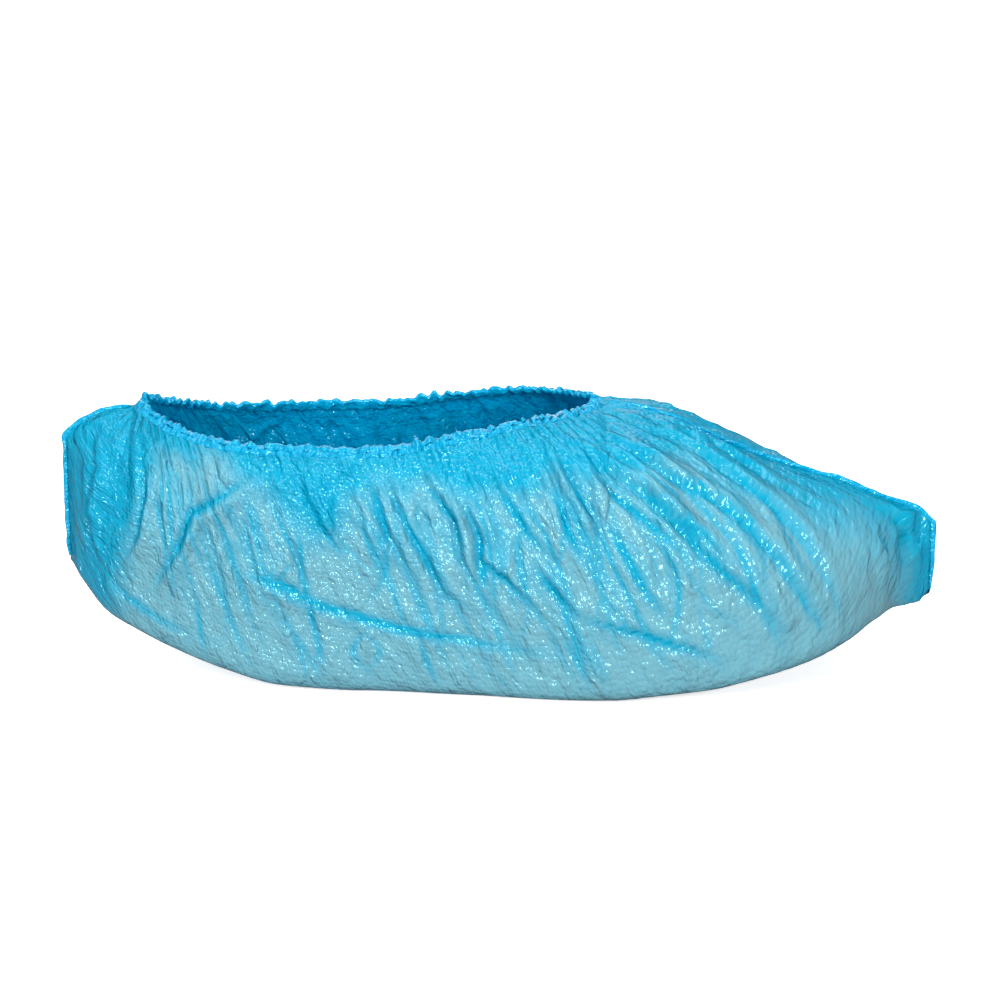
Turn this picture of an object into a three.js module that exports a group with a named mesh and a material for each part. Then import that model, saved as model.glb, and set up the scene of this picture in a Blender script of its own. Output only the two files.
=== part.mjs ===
// A single-use film overshoe, in the form it takes over a low shoe. The shoe itself is left out, so this is a hollow
// bag of thin film, open at the ankle. Its two ends are welded shut along the middle of the heel and of the toe, and
// an elastic in the hem gathers the opening, from which the film fans out in folds down to the sole.
// Frame: millimetres, +X to the toe, +Y to the left side, +Z up, origin on the floor under the middle of the bag.
import * as THREE from "three";

// The bag
const BAG_LENGTH = 300; // from the heel weld to the toe weld
const BALL_WIDTH = 106; // across the ball of the foot
const INSTEP_HEIGHT = 92; // floor to film just ahead of the opening
const TOE_SPRING = 22; // rise of the sole line at the toe weld
const HEEL_LIFT = 36; // rise of the loose film at the heel weld
const TOE_SWING = 5; // how far the toe turns to the inner side of a right shoe
const FILM_WALL = 1.2;
const SOLE_EDGE_RADIUS = 8; // less where the bag is narrow

// The opening, an oval seen from above
const OPENING_LENGTH = 159;
const OPENING_WIDTH = 69;
const OPENING_SETBACK = 25; // from the heel weld to the back of the opening

// The elastic hem, which sits on the film's edge, and the weld beads, which sit on its two ends
const SEAT_GAP = 0.3;
const HEM_HEIGHT = 3.4;
const HEM_THICKNESS = 3.2;
const PUCKER_DEPTH = 0.5; // how far the gathered hem swells and sinks
const WELD_HEIGHT = 1.8;
const WELD_THICKNESS = 1.6;

// Folds of the film
const GATHER_DEPTH = 1.4; // ruffles just under the hem
const GATHER_REACH = 30; // how far down the film the ruffles run
const FOLD_HEIGHT = 4; // of the highest fold
const FOLD_WIDTH = 9; // of every fold, from its crest to its foot

// Counts
const GATHERS_PER_SIDE = 18;
const FILM_COLUMNS = 72; // each side, from the heel weld to the toe weld
const FILM_ROWS = 16; // from the hem to the middle of the sole
const HEM_SIDES = 6;

// Cross-sections of the bag from heel to toe. at is a share of BAG_LENGTH and width of BALL_WIDTH. bottom is a share
// of HEEL_LIFT in the back half and of TOE_SPRING in the front half. side, shoulder and top are shares of
// INSTEP_HEIGHT: where the wall stops being upright, where it would turn in, and where it ends at hem or ridge.
const SECTIONS = [
  { at: 0.0, width: 0.0, bottom: 1.0, side: 0.63, shoulder: 0.78, top: 0.87 },
  { at: 0.01, width: 0.11, bottom: 0.9, side: 0.61, shoulder: 0.83, top: 0.905 },
  { at: 0.027, width: 0.235, bottom: 0.73, side: 0.57, shoulder: 0.86, top: 0.94 },
  { at: 0.05, width: 0.37, bottom: 0.585, side: 0.52, shoulder: 0.87, top: 0.972 },
  { at: 0.083, width: 0.51, bottom: 0.49, side: 0.49, shoulder: 0.87, top: 0.99 },
  { at: 0.127, width: 0.63, bottom: 0.36, side: 0.46, shoulder: 0.81, top: 0.945 },
  { at: 0.183, width: 0.71, bottom: 0.2, side: 0.43, shoulder: 0.76, top: 0.907 },
  { at: 0.25, width: 0.75, bottom: 0.05, side: 0.41, shoulder: 0.74, top: 0.895 },
  { at: 0.35, width: 0.77, bottom: 0.0, side: 0.39, shoulder: 0.74, top: 0.895 },
  { at: 0.45, width: 0.84, bottom: 0.0, side: 0.37, shoulder: 0.78, top: 0.94 },
  { at: 0.55, width: 0.94, bottom: 0.0, side: 0.35, shoulder: 0.87, top: 0.99 },
  { at: 0.617, width: 0.985, bottom: 0.015, side: 0.33, shoulder: 0.93, top: 1.0 },
  { at: 0.673, width: 1.0, bottom: 0.1, side: 0.33, shoulder: 0.91, top: 0.965 },
  { at: 0.733, width: 0.99, bottom: 0.19, side: 0.33, shoulder: 0.83, top: 0.88 },
  { at: 0.79, width: 0.945, bottom: 0.34, side: 0.34, shoulder: 0.74, top: 0.8 },
  { at: 0.847, width: 0.84, bottom: 0.51, side: 0.35, shoulder: 0.66, top: 0.735 },
  { at: 0.893, width: 0.67, bottom: 0.7, side: 0.36, shoulder: 0.62, top: 0.69 },
  { at: 0.927, width: 0.45, bottom: 0.84, side: 0.36, shoulder: 0.58, top: 0.64 },
  { at: 0.95, width: 0.235, bottom: 0.85, side: 0.36, shoulder: 0.55, top: 0.61 },
  { at: 0.97, width: 0.105, bottom: 0.86, side: 0.37, shoulder: 0.52, top: 0.59 },
  { at: 0.987, width: 0.045, bottom: 0.91, side: 0.37, shoulder: 0.48, top: 0.56 },
  { at: 1.0, width: 0.0, bottom: 1.0, side: 0.37, shoulder: 0.46, top: 0.52 },
];

// Folds, each along the film from one place to another. columns are shares of the way from the heel weld to the toe
// weld and rows are shares of the way from the hem to the middle of the sole. height is a share of FOLD_HEIGHT, and
// less than 0 for a dent.
const NEAR_FOLDS = [
  { column: 0.045, row: 0.16, toColumn: 0.05, toRow: 0.7, height: 0.8 },
  { column: 0.1, row: 0.06, toColumn: 0.1, toRow: 0.62, height: 0.7 },
  { column: 0.16, row: 0.03, toColumn: 0.15, toRow: 0.4, height: 0.6 },
  { column: 0.17, row: 0.42, toColumn: 0.22, toRow: 0.74, height: 0.7 },
  { column: 0.22, row: 0.03, toColumn: 0.21, toRow: 0.36, height: 0.6 },
  { column: 0.22, row: 0.42, toColumn: 0.35, toRow: 0.66, height: 0.7 },
  { column: 0.35, row: 0.66, toColumn: 0.58, toRow: 0.74, height: 0.6 },
  { column: 0.3, row: 0.03, toColumn: 0.31, toRow: 0.42, height: 0.8 },
  { column: 0.38, row: 0.03, toColumn: 0.36, toRow: 0.5, height: 0.7 },
  { column: 0.38, row: 0.03, toColumn: 0.45, toRow: 0.55, height: 0.8 },
  { column: 0.5, row: 0.03, toColumn: 0.48, toRow: 0.34, height: 0.7 },
  { column: 0.5, row: 0.03, toColumn: 0.54, toRow: 0.6, height: 0.9 },
  { column: 0.6, row: 0.03, toColumn: 0.61, toRow: 0.62, height: 0.9 },
  { column: 0.68, row: 0.04, toColumn: 0.67, toRow: 0.64, height: 1.0 },
  { column: 0.74, row: 0.05, toColumn: 0.74, toRow: 0.66, height: 0.9 },
  { column: 0.8, row: 0.06, toColumn: 0.8, toRow: 0.6, height: 1.0 },
  { column: 0.85, row: 0.08, toColumn: 0.86, toRow: 0.66, height: 0.8 },
  { column: 0.9, row: 0.1, toColumn: 0.91, toRow: 0.62, height: 0.7 },
  { column: 0.95, row: 0.76, toColumn: 0.955, toRow: 0.92, height: -0.7 },
];
const FAR_FOLDS = [
  { column: 0.05, row: 0.14, toColumn: 0.06, toRow: 0.74, height: 0.8 },
  { column: 0.12, row: 0.05, toColumn: 0.13, toRow: 0.5, height: 0.7 },
  { column: 0.2, row: 0.03, toColumn: 0.19, toRow: 0.6, height: 0.7 },
  { column: 0.28, row: 0.03, toColumn: 0.3, toRow: 0.46, height: 0.8 },
  { column: 0.3, row: 0.5, toColumn: 0.44, toRow: 0.7, height: 0.6 },
  { column: 0.36, row: 0.03, toColumn: 0.34, toRow: 0.38, height: 0.7 },
  { column: 0.44, row: 0.03, toColumn: 0.46, toRow: 0.56, height: 0.9 },
  { column: 0.53, row: 0.03, toColumn: 0.52, toRow: 0.42, height: 0.8 },
  { column: 0.53, row: 0.03, toColumn: 0.58, toRow: 0.66, height: 0.8 },
  { column: 0.64, row: 0.04, toColumn: 0.65, toRow: 0.6, height: 1.0 },
  { column: 0.71, row: 0.05, toColumn: 0.7, toRow: 0.66, height: 0.9 },
  { column: 0.77, row: 0.06, toColumn: 0.78, toRow: 0.62, height: 1.0 },
  { column: 0.83, row: 0.08, toColumn: 0.84, toRow: 0.64, height: 0.8 },
  { column: 0.89, row: 0.1, toColumn: 0.9, toRow: 0.6, height: 0.7 },
];

// A smooth value between the rows of a table, flat where neighbouring rows turn, so that it never overshoots them.
function smoothColumn(rows, column, at) {
  const last = rows.length - 1;
  const share = THREE.MathUtils.clamp(at, rows[0].at, rows[last].at);
  let i = 0;
  while (i < last - 1 && rows[i + 1].at < share) i += 1;
  const slope = (k) => (rows[k + 1][column] - rows[k][column]) / (rows[k + 1].at - rows[k].at);
  const tangent = (k) => {
    if (k === 0) return slope(0);
    if (k === last) return slope(last - 1);
    const [before, after] = [slope(k - 1), slope(k)];
    return before * after <= 0 ? 0 : (2 * before * after) / (before + after);
  };
  const span = rows[i + 1].at - rows[i].at;
  const t = (share - rows[i].at) / span;
  const [t2, t3] = [t * t, t * t * t];
  return (
    (2 * t3 - 3 * t2 + 1) * rows[i][column] +
    (t3 - 2 * t2 + t) * span * tangent(i) +
    (3 * t2 - 2 * t3) * rows[i + 1][column] +
    (t3 - t2) * span * tangent(i + 1)
  );
}

// Half the opening's width at a distance from the heel weld, and 0 outside the opening.
function openingHalfWidth(x) {
  const along = (x - OPENING_SETBACK - OPENING_LENGTH / 2) / (OPENING_LENGTH / 2);
  return Math.abs(along) < 1 ? (OPENING_WIDTH / 2) * Math.sqrt(1 - along * along) : 0;
}

// One half cross-section as points, from the middle out over the opening or ridge, down the wall and in under the
// sole back to the middle.
const SECTION_POINTS = 160;
function halfSection(x) {
  const value = (column) => smoothColumn(SECTIONS, column, x / BAG_LENGTH);
  const halfWidth = (value("width") * BALL_WIDTH) / 2;
  const bottom = value("bottom") * (x < BAG_LENGTH / 2 ? HEEL_LIFT : TOE_SPRING);
  const radius = Math.min(SOLE_EDGE_RADIUS, halfWidth * 0.7);
  const path = new THREE.Path();
  path.moveTo(0, value("top") * INSTEP_HEIGHT);
  path.lineTo(Math.min(openingHalfWidth(x), halfWidth), value("top") * INSTEP_HEIGHT);
  path.quadraticCurveTo(
    halfWidth,
    value("shoulder") * INSTEP_HEIGHT,
    halfWidth,
    value("side") * INSTEP_HEIGHT,
  );
  path.lineTo(halfWidth, bottom + radius);
  path.quadraticCurveTo(halfWidth, bottom, halfWidth - radius, bottom);
  path.lineTo(0, bottom);
  return { points: path.getSpacedPoints(SECTION_POINTS), length: path.getLength() };
}

const SECTION_STEP = 1;
const halfSections = Array.from({ length: Math.ceil(BAG_LENGTH / SECTION_STEP) + 1 }, (_, i) =>
  halfSection(Math.min(i * SECTION_STEP, BAG_LENGTH)),
);

// The smooth bag: x from the heel weld, down from 0 at the middle of the top to 1 at the middle of the sole.
function bagPoint(x, down, side) {
  const i = Math.min(Math.floor(x / SECTION_STEP), halfSections.length - 2);
  const j = Math.min(Math.floor(down * SECTION_POINTS), SECTION_POINTS - 1);
  const [s, t] = [x / SECTION_STEP - i, down * SECTION_POINTS - j];
  const [behind, before] = [halfSections[i].points, halfSections[i + 1].points];
  const back = behind[j].clone().lerp(behind[j + 1], t);
  const front = before[j].clone().lerp(before[j + 1], t);
  const { x: y, y: z } = back.lerp(front, s);
  const swing = TOE_SWING * Math.max(0, (2 * x) / BAG_LENGTH - 1) ** 2;
  return new THREE.Vector3(x, side * y + swing, z);
}

// A line of the film from the hem to the middle of the sole, as places on the bag. share is 0 on the heel weld and
// 1 on the toe weld. In between the lines fan out from the opening. The welds themselves run along the ridge to the
// end of the bag and then straight down, and their neighbours turn that corner ever more gently.
const LINE_SAMPLES = 160;
function filmLine(share) {
  const start = OPENING_SETBACK + (OPENING_LENGTH / 2) * (1 - Math.cos(Math.PI * share));
  const startDown = openingHalfWidth(start) / halfSections[Math.round(start / SECTION_STEP)].length;
  const end = BAG_LENGTH * share;
  const hug = Math.abs(2 * share - 1) ** 2.5;
  const rounding = 1 - hug * hug;
  const from = new THREE.Vector2(start, startDown);
  const to = new THREE.Vector2(end, 1);
  const corner = from.clone().lerp(to, 0.5).lerp(new THREE.Vector2(end, startDown), hug);
  const before = corner.clone().lerp(from, rounding);
  const after = corner.clone().lerp(to, rounding);
  const bend = new THREE.QuadraticBezierCurve(before, corner, after);
  const straights = [before.distanceTo(from) / BAG_LENGTH, 1, after.distanceTo(to)];
  const total = straights[0] + straights[1] + straights[2];
  return Array.from({ length: LINE_SAMPLES + 1 }, (_, i) => {
    const t = (i / LINE_SAMPLES) * total;
    if (t < straights[0]) return from.clone().lerp(before, t / straights[0]);
    if (t < straights[0] + 1) return bend.getPoint(t - straights[0]);
    return after.clone().lerp(to, straights[2] ? Math.min((t - straights[0] - 1) / straights[2], 1) : 1);
  });
}

// The place on such a line that lies a share of its true length down from the hem.
function placer(share, side) {
  const places = filmLine(share);
  const points = places.map((p) => bagPoint(p.x, p.y, side));
  const lengths = [0];
  for (let i = 1; i < points.length; i += 1) {
    lengths.push(lengths[i - 1] + points[i].distanceTo(points[i - 1]));
  }
  return (row) => {
    const wanted = lengths[LINE_SAMPLES] * row;
    let i = 1;
    while (i < LINE_SAMPLES && lengths[i] < wanted) i += 1;
    const step = lengths[i] - lengths[i - 1];
    const t = step ? THREE.MathUtils.clamp((wanted - lengths[i - 1]) / step, 0, 1) : 0;
    const place = places[i - 1].clone().lerp(places[i], t);
    return bagPoint(place.x, place.y, side);
  };
}

// How far the folds and the ruffles lift the film at a place. They fade out at the welds and under the sole.
const FOLD_SAMPLES = 24;
const foldLines = [NEAR_FOLDS, FAR_FOLDS].map((table, far) =>
  table.map((fold) =>
    Array.from({ length: FOLD_SAMPLES + 1 }, (_, i) => {
      const t = i / FOLD_SAMPLES;
      const share = THREE.MathUtils.lerp(fold.column, fold.toColumn, t);
      const row = THREE.MathUtils.lerp(fold.row, fold.toRow, t);
      const height = fold.height * FOLD_HEIGHT * Math.sin(Math.PI * t) ** 0.6;
      return { point: placer(share, far ? 1 : -1)(row), height };
    }),
  ),
);
const rim = Array.from({ length: 2 * FILM_COLUMNS }, (_, k) => {
  const share = Math.min(k, 2 * FILM_COLUMNS - k) / FILM_COLUMNS;
  return placer(share, k < FILM_COLUMNS ? -1 : 1)(0);
});
function lift(share, side, point) {
  const fromHem = Math.min(...rim.map((p) => p.distanceTo(point)));
  let [rise, dent] = [0, 0];
  for (const line of foldLines[side < 0 ? 0 : 1]) {
    let nearest = { distance: Infinity, height: 0 };
    for (const sample of line) {
      const distance = sample.point.distanceTo(point);
      if (distance < nearest.distance) nearest = { distance, height: sample.height };
    }
    const lifted = nearest.height * Math.max(0, 1 - nearest.distance / FOLD_WIDTH) ** 1.5;
    rise = Math.max(rise, lifted);
    dent = Math.min(dent, lifted);
  }
  const depth = GATHER_DEPTH * Math.exp((-2 * fromHem) / GATHER_REACH);
  const ruffle = depth * Math.cos(2 * Math.PI * GATHERS_PER_SIDE * share);
  const fromWeld = Math.min(share, 1 - share) * FILM_COLUMNS;
  const fade = THREE.MathUtils.smoothstep(fromWeld, 0.9, 4);
  const aboveSole = (point.z - bagPoint(point.x, 1, side).z) / SOLE_EDGE_RADIUS;
  const pastSole = THREE.MathUtils.smoothstep(aboveSole, 0.1, 2);
  const pastHem = THREE.MathUtils.smoothstep(fromHem, HEM_THICKNESS / 2, HEM_THICKNESS + FOLD_WIDTH);
  return ((rise + dent) * pastHem + ruffle) * pastSole * fade;
}

// The film's columns run round the bag: out along the near side from the heel weld, and back along the far side.
const COLUMNS = 2 * FILM_COLUMNS;
const ROW_CROWDING = 1.2; // over 1 sets the rows closer together near the hem
const smooth = [];
const lifts = [];
for (let k = 0; k < COLUMNS; k += 1) {
  const share = Math.min(k, COLUMNS - k) / FILM_COLUMNS;
  const side = k <= FILM_COLUMNS ? -1 : 1;
  const at = placer(share, side);
  for (let r = 0; r <= FILM_ROWS; r += 1) {
    const row = (r / FILM_ROWS) ** ROW_CROWDING;
    smooth.push(at(row));
    lifts.push(lift(share, side, smooth.at(-1)));
  }
}

// Both sides share the line down the middle of the sole.
function index(k, r) {
  const column = ((k % COLUMNS) + COLUMNS) % COLUMNS;
  const shared = r === FILM_ROWS && column > FILM_COLUMNS ? COLUMNS - column : column;
  return shared * (FILM_ROWS + 1) + r;
}
const outerFaces = [];
for (let k = 0; k < COLUMNS; k += 1) {
  for (let r = 0; r < FILM_ROWS; r += 1) {
    const [a, b, c, d] = [index(k, r), index(k, r + 1), index(k + 1, r + 1), index(k + 1, r)];
    if (k < FILM_COLUMNS) outerFaces.push([a, b, c], [a, c, d]);
    else outerFaces.push([a, b, d], [b, c, d]);
  }
}

// For every point, the direction out of the film and how much further than straight through the wall a point has to
// go along it, so that the wall stays equally thick over a crease.
function outward(points) {
  const sums = points.map(() => new THREE.Vector3());
  const touching = points.map(() => []);
  for (const face of outerFaces) {
    const [a, b, c] = face.map((i) => points[i]);
    const normal = b.clone().sub(a).cross(c.clone().sub(a)).normalize();
    face.forEach((i, corner) => {
      const toNext = points[face[(corner + 1) % 3]].clone().sub(points[i]);
      const toLast = points[face[(corner + 2) % 3]].clone().sub(points[i]);
      sums[i].addScaledVector(normal, toNext.angleTo(toLast));
      touching[i].push(normal);
    });
  }
  return sums.map((sum, i) => {
    const normal = sum.normalize();
    const least = Math.min(...touching[i].map((n) => n.dot(normal)), 1);
    return { normal, stretch: 1 / Math.max(least, 0.6) };
  });
}
const smoothOut = outward(smooth);
const outer = smooth.map((point, i) => point.clone().addScaledVector(smoothOut[i].normal, lifts[i]));
const filmOut = outward(outer);
const inner = outer.map((point, i) =>
  point.clone().addScaledVector(filmOut[i].normal, -FILM_WALL * filmOut[i].stretch),
);

// A closed mesh out of points and faces, without points that no face uses.
function mesh(name, points, faces, color, roughness) {
  const used = new Map();
  const positions = [];
  const indices = faces.flat().map((i) => {
    if (!used.has(i)) {
      used.set(i, used.size);
      positions.push(...points[i].toArray());
    }
    return used.get(i);
  });
  const geometry = new THREE.BufferGeometry();
  geometry.setAttribute("position", new THREE.Float32BufferAttribute(positions, 3));
  geometry.setIndex(indices);
  geometry.computeVertexNormals();
  const made = new THREE.Mesh(geometry, new THREE.MeshStandardMaterial({ color, roughness }));
  made.name = name;
  return made;
}

// Film body: the outer wall, the inner wall turned to face inward, and the lip that joins them at the hem.
const filmFaces = [...outerFaces];
const count = outer.length;
for (const [a, b, c] of outerFaces) filmFaces.push([count + c, count + b, count + a]);
for (let k = 0; k < COLUMNS; k += 1) {
  const [a, b] = [index(k, 0), index(k + 1, 0)];
  filmFaces.push([a, b, count + b], [a, count + b, count + a]);
}
const filmBody = mesh("film_body", [...outer, ...inner], filmFaces, "#12a5dc", 0.35);

// A closed band whose cross-sections are rings of points, one after another. Without a loop its ends are capped.
function band(name, rings, loop, color, roughness) {
  const sides = rings[0].length;
  const faces = [];
  const steps = loop ? rings.length : rings.length - 1;
  for (let k = 0; k < steps; k += 1) {
    const next = (k + 1) % rings.length;
    for (let s = 0; s < sides; s += 1) {
      const t = (s + 1) % sides;
      const [a, b, c, d] = [k * sides + s, k * sides + t, next * sides + t, next * sides + s];
      faces.push([a, b, c], [a, c, d]);
    }
  }
  if (!loop) {
    const last = (rings.length - 1) * sides;
    for (let s = 1; s < sides - 1; s += 1) faces.push([0, s + 1, s], [last, last + s, last + s + 1]);
  }
  return mesh(name, rings.flat(), faces, color, roughness);
}

// Elastic hem: a gathered roll on the lip and in line with the film, with one section at each column of the film,
// full and slack by turns.
const hemRings = Array.from({ length: COLUMNS }, (_, k) => {
  const i = index(k, 0);
  const out = smoothOut[i].normal;
  const ahead = smooth[index(k + 1, 0)].clone().sub(smooth[index(k - 1, 0)]);
  const up = out.clone().cross(ahead).normalize();
  const lip = outer[i].clone().lerp(inner[i], 0.5);
  const highest = Math.max(outer[i].dot(up), inner[i].dot(up));
  const foot = lip.addScaledVector(up, highest - lip.dot(up) + SEAT_GAP);
  const swell = k % 2 ? -PUCKER_DEPTH : PUCKER_DEPTH;
  const lowest = Math.cos(Math.PI / HEM_SIDES);
  return Array.from({ length: HEM_SIDES }, (_, s) => {
    const turn = Math.PI / 2 - (2 * Math.PI * (s + 0.5)) / HEM_SIDES;
    const rise = (Math.sin(turn) / lowest + 1) / 2;
    return foot
      .clone()
      .addScaledVector(out, (Math.cos(turn) * (HEM_THICKNESS + swell)) / 2)
      .addScaledVector(up, rise * (HEM_HEIGHT + swell));
  });
});
const elasticHem = band("elastic_hem", hemRings, true, "#0e97cf", 0.5);

// End welds: a bead along each end of the film, from just clear of the hem to the bottom corner of the bag.
function weld(name, k) {
  const clear = HEM_THICKNESS / 2 + PUCKER_DEPTH + 4 * SEAT_GAP;
  const path = [];
  let run = 0;
  for (let r = 0; r <= FILM_ROWS; r += 1) {
    const i = index(k, r);
    if (r) run += outer[i].distanceTo(outer[index(k, r - 1)]);
    if (run > clear) path.push({ foot: outer[i], ...filmOut[i] });
  }
  const rings = path.map(({ foot, normal, stretch }, i) => {
    const from = path[Math.max(i - 1, 0)].foot;
    const to = path[Math.min(i + 1, path.length - 1)].foot;
    const along = to.clone().sub(from).normalize();
    const out = normal.clone().addScaledVector(along, -normal.dot(along)).normalize();
    const across = out.clone().cross(along);
    const low = foot.clone().addScaledVector(out, SEAT_GAP * stretch);
    const high = foot.clone().addScaledVector(out, SEAT_GAP * stretch + WELD_HEIGHT);
    return [
      low.clone().addScaledVector(across, -WELD_THICKNESS / 2),
      low.clone().addScaledVector(across, WELD_THICKNESS / 2),
      high.clone().addScaledVector(across, WELD_THICKNESS / 4),
      high.clone().addScaledVector(across, -WELD_THICKNESS / 4),
    ];
  });
  return band(name, rings, false, "#0b8cc4", 0.45);
}
const heelWeld = weld("heel_weld", 0);
const toeWeld = weld("toe_weld", FILM_COLUMNS);

// Together, moved so that the origin is on the floor under the middle.
const group = new THREE.Group();
group.add(filmBody, elasticHem, heelWeld, toeWeld);
const box = new THREE.Box3().setFromObject(group);
const middle = box.getCenter(new THREE.Vector3());
for (const piece of group.children) piece.geometry.translate(-middle.x, -middle.y, -box.min.z);
export default group;
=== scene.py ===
# %% [markdown]
# # A single-use film shoe cover
# The real thing is a flat bag of blue film, 380 mm by 150 mm, welded shut at both ends, with an elastic
# in its hem. Once worn, it becomes a thin skin full of creases that all start at the gathered opening.
# The solids from the CAD model load first and stay where they are. Each of the four is then replaced by a
# finer piece.

# %% Load the solids
import math
import bmesh
import bpy
import numpy as np
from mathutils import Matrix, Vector, noise


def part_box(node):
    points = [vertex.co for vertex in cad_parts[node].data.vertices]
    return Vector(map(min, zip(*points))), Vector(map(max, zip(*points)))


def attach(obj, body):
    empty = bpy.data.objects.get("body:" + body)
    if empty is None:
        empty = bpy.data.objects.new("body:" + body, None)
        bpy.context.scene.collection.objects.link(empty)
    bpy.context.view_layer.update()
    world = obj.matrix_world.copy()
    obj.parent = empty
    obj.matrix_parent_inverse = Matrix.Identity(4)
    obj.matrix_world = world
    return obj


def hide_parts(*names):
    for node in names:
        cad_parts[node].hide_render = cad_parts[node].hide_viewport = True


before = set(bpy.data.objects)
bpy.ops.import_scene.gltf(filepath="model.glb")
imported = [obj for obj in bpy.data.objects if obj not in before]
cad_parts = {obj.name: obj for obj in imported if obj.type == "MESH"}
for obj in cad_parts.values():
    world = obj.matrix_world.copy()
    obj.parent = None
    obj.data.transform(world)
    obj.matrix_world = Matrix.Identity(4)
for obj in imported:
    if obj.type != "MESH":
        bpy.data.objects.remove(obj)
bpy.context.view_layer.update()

# %% [markdown]
# ## Camera
# The photograph is taken from the side and a little from above, with a long lens, so the film's length
# fills most of the frame and its far side is hidden. A 105 mm lens a metre away gives the same flat look.

# %% Camera
MM = 0.001
VIEW_HEIGHT = math.radians(16)
LENS_MM = 105.0
SENSOR_MM = 36.0
SEEN_WIDTH_MM = 346.0  # how much of the object's plane the square picture takes in
AIM = Vector((-0.7 * MM, 0.0, 57 * MM))

camera = bpy.data.objects.new("camera", bpy.data.cameras.new("camera"))
camera.data.lens = LENS_MM
camera.data.sensor_width = SENSOR_MM
distance = SEEN_WIDTH_MM * MM * LENS_MM / SENSOR_MM
camera.location = AIM + distance * Vector((0.0, -math.cos(VIEW_HEIGHT), math.sin(VIEW_HEIGHT)))
camera.rotation_euler = (math.pi / 2 - VIEW_HEIGHT, 0.0, 0.0)
bpy.context.scene.collection.objects.link(camera)
bpy.context.scene.camera = camera
print("camera", round(distance, 3), "m away")

# %% [markdown]
# ## The smooth bag
# A creased film is easiest to make in two steps: first the smooth bag that it would be without any slack,
# then the creases as small moves in and out of it. The smooth bag is a row of half cross-sections from
# heel to toe, the same table as in the solids, so that the finer film lies exactly on them. Lengths are
# in millimetres from the heel weld.

# %% Sizes and cross-sections
BAG_LENGTH = 300.0
BALL_WIDTH = 106.0
INSTEP_HEIGHT = 92.0
TOE_SPRING = 22.0
HEEL_LIFT = 36.0
TOE_SWING = 5.0
SOLE_EDGE_RADIUS = 8.0
LARGEST_EDGE_SHARE = 0.7  # of a narrow section's half width
OPENING_LENGTH = 159.0
OPENING_WIDTH = 69.0
OPENING_SETBACK = 25.0

# Each row: the share of BAG_LENGTH, then shares of BALL_WIDTH, of HEEL_LIFT or TOE_SPRING, and three
# of INSTEP_HEIGHT.
SECTION_COLUMNS = ("at", "width", "bottom", "side", "shoulder", "top")
SECTIONS = np.array([
    (0.000, 0.000, 1.000, 0.63, 0.78, 0.870), (0.010, 0.110, 0.900, 0.61, 0.83, 0.905),
    (0.027, 0.235, 0.730, 0.57, 0.86, 0.940), (0.050, 0.370, 0.585, 0.52, 0.87, 0.972),
    (0.083, 0.510, 0.490, 0.49, 0.87, 0.990), (0.127, 0.630, 0.360, 0.46, 0.81, 0.945),
    (0.183, 0.710, 0.200, 0.43, 0.76, 0.907), (0.250, 0.750, 0.050, 0.41, 0.74, 0.895),
    (0.350, 0.770, 0.000, 0.39, 0.74, 0.895), (0.450, 0.840, 0.000, 0.37, 0.78, 0.940),
    (0.550, 0.940, 0.000, 0.35, 0.87, 0.990), (0.617, 0.985, 0.015, 0.33, 0.93, 1.000),
    (0.673, 1.000, 0.100, 0.33, 0.91, 0.965), (0.733, 0.990, 0.190, 0.33, 0.83, 0.880),
    (0.790, 0.945, 0.340, 0.34, 0.74, 0.800), (0.847, 0.840, 0.510, 0.35, 0.66, 0.735),
    (0.893, 0.670, 0.700, 0.36, 0.62, 0.690), (0.927, 0.450, 0.840, 0.36, 0.58, 0.640),
    (0.950, 0.235, 0.850, 0.36, 0.55, 0.610), (0.970, 0.105, 0.860, 0.37, 0.52, 0.590),
    (0.987, 0.045, 0.910, 0.37, 0.48, 0.560), (1.000, 0.000, 1.000, 0.37, 0.46, 0.520),
])


def section_value(column, at):
    """A smooth value between the rows, which never overshoots them."""
    rows = SECTIONS[:, [0, SECTION_COLUMNS.index(column)]]
    step = np.diff(rows[:, 0])
    slope = np.diff(rows[:, 1]) / step
    tangent = np.concatenate([[slope[0]], np.zeros(len(slope) - 1), [slope[-1]]])
    for k in range(1, len(slope)):
        if slope[k - 1] * slope[k] > 0:
            tangent[k] = 2 * slope[k - 1] * slope[k] / (slope[k - 1] + slope[k])
    i = int(np.clip(np.searchsorted(rows[:, 0], at) - 1, 0, len(slope) - 1))
    t = (at - rows[i, 0]) / step[i]
    return ((2 * t**3 - 3 * t**2 + 1) * rows[i, 1] + (t**3 - 2 * t**2 + t) * step[i] * tangent[i]
            + (3 * t**2 - 2 * t**3) * rows[i + 1, 1] + (t**3 - t**2) * step[i] * tangent[i + 1])


def opening_half_width(x):
    """Half the width of the oval opening at a distance from the heel."""
    along = (x - OPENING_SETBACK - OPENING_LENGTH / 2) / (OPENING_LENGTH / 2)
    return OPENING_WIDTH / 2 * math.sqrt(max(0.0, 1 - along * along))


CURVE_POINTS = 24


def curve(a, b, c):
    """Points on the curve that leaves a towards b and arrives at c from b."""
    t = np.linspace(0, 1, CURVE_POINTS)[:, None]
    return (1 - t) ** 2 * np.array(a) + 2 * t * (1 - t) * np.array(b) + t**2 * np.array(c)


SECTION_POINTS = 160


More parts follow.
